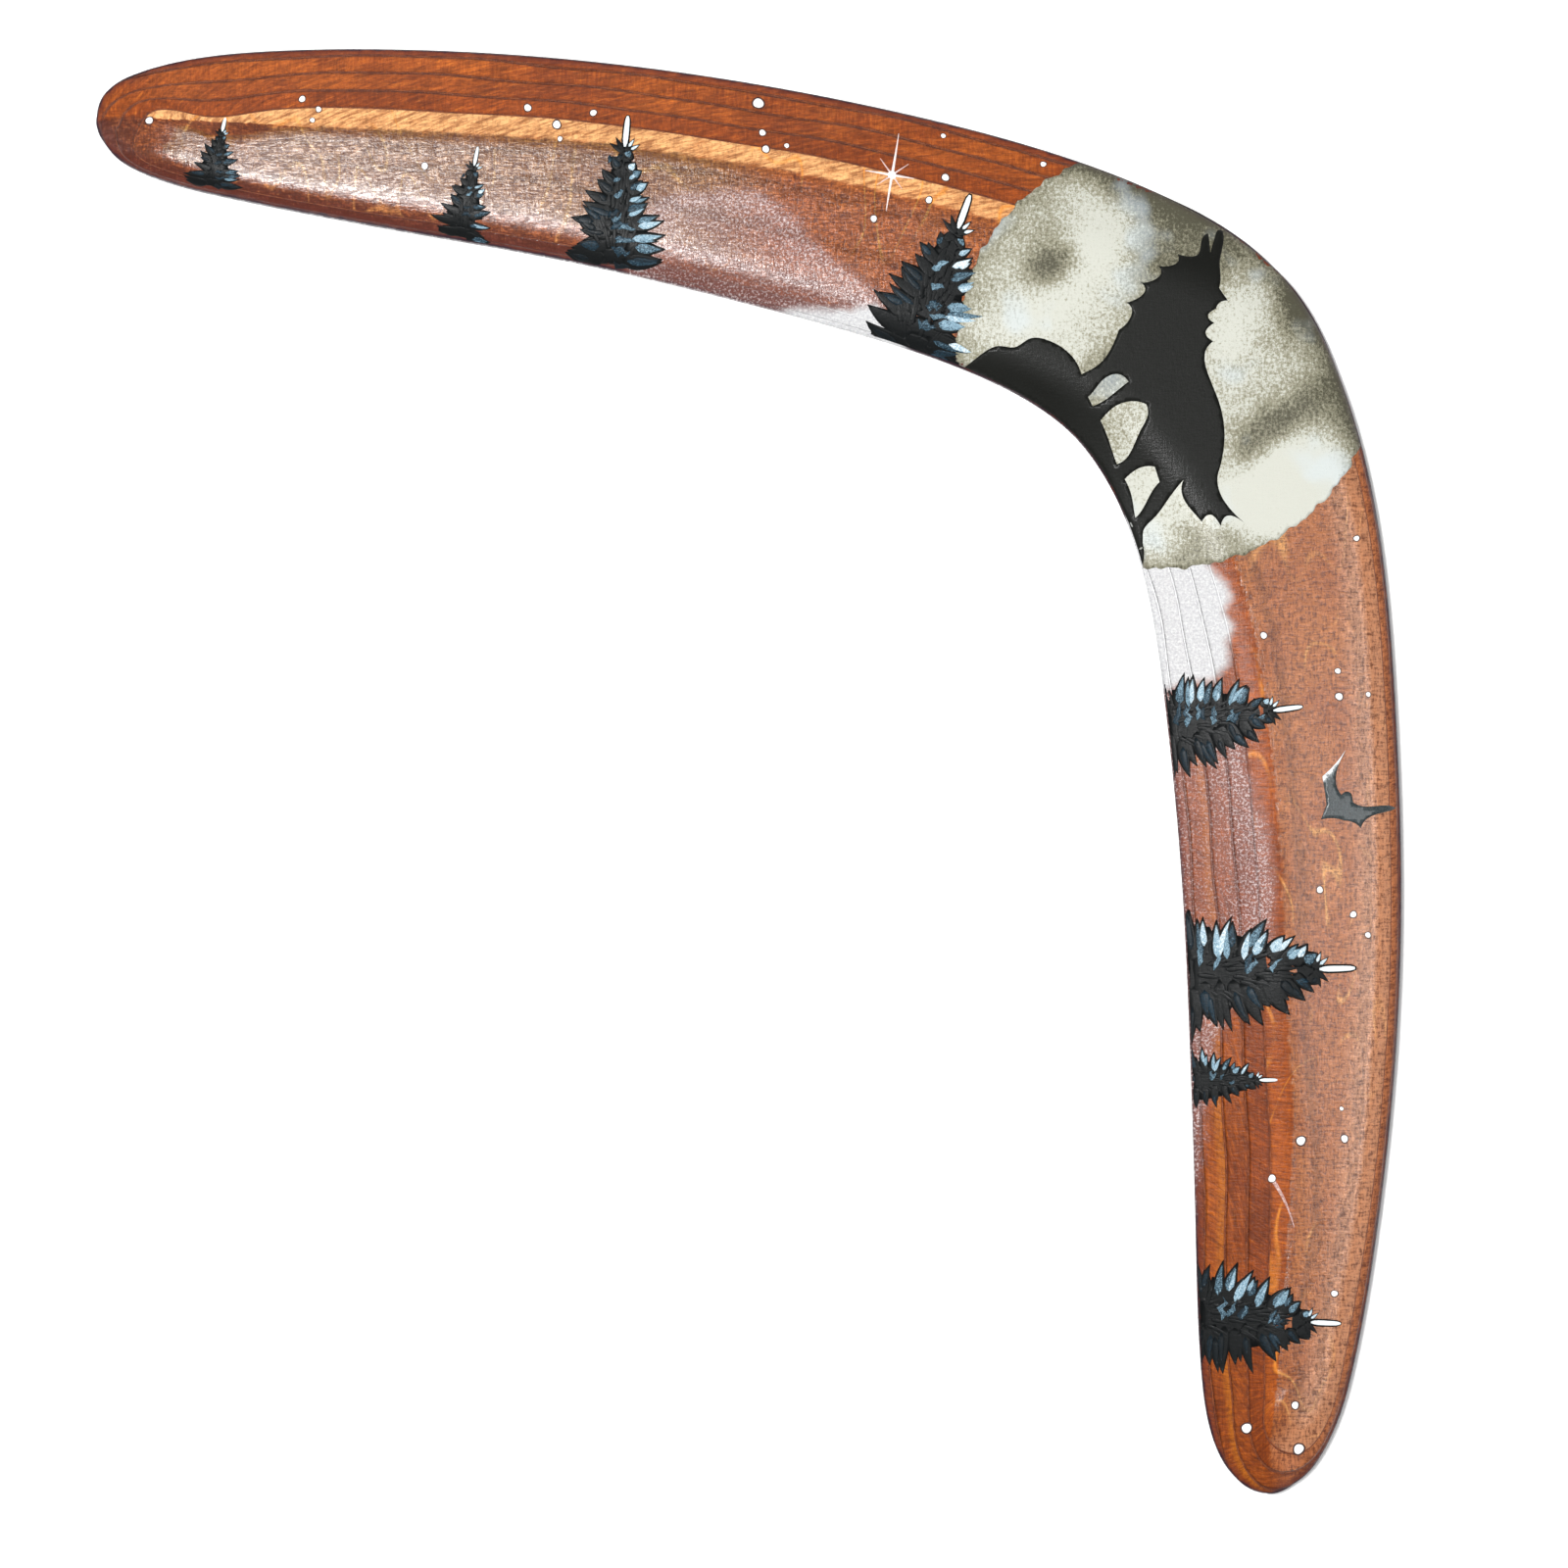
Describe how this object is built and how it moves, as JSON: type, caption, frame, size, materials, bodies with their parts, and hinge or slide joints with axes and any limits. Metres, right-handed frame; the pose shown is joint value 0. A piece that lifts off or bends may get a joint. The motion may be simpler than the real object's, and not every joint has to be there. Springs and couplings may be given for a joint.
{
  "type": "boomerang",
  "caption": "V-shaped returning boomerang of glued birch veneers, worked to an aerofoil, with a painted night scene of moon, howling wolf and pines.",
  "frame": {"origin": "on the flat underside, below the middle of the bounding box; the point lies in the open crook between the arms", "axes": "+Z out of the painted, worked top; +Y against the arm that ends at the -Y tip; +X away from the arm that ends at the -X tip, so both arms meet at the elbow near +X +Y"},
  "size_m": [0.3131, 0.347, 0.0066],
  "materials": {
    "stained_birch": "reddish-brown stain under clear gloss lacquer",
    "glue": "dark cured wood glue, stained and lacquered over",
    "moon_paint": "off-white acrylic with grey sponge shading under gloss lacquer",
    "black_paint": "black acrylic under gloss lacquer",
    "pine_paint": "dark blue-green acrylic brush strokes with pale highlights, under gloss lacquer",
    "grey_paint": "dark grey acrylic under gloss lacquer",
    "white_paint": "white acrylic under gloss lacquer"
  },
  "bodies": {
    "root": {"veneer_1": "stained_birch", "veneer_2": "stained_birch", "veneer_3": "stained_birch", "veneer_4": "stained_birch", "veneer_5": "stained_birch", "glue_line_1": "glue", "glue_line_2": "glue", "glue_line_3": "glue", "glue_line_4": "glue", "moon_paint": "moon_paint", "wolf_and_ridge_paint": "black_paint", "pine_paint_1": "pine_paint", "pine_paint_2": "pine_paint", "pine_paint_3": "pine_paint", "pine_paint_4": "pine_paint", "pine_paint_5": "pine_paint", "pine_paint_6": "pine_paint", "pine_paint_7": "pine_paint", "pine_paint_8": "pine_paint", "bird_paint": "grey_paint", "starburst_paint": "white_paint", "comet_paint": "white_paint", "star_dots_paint": "white_paint"}
  },
  "joints": []
}
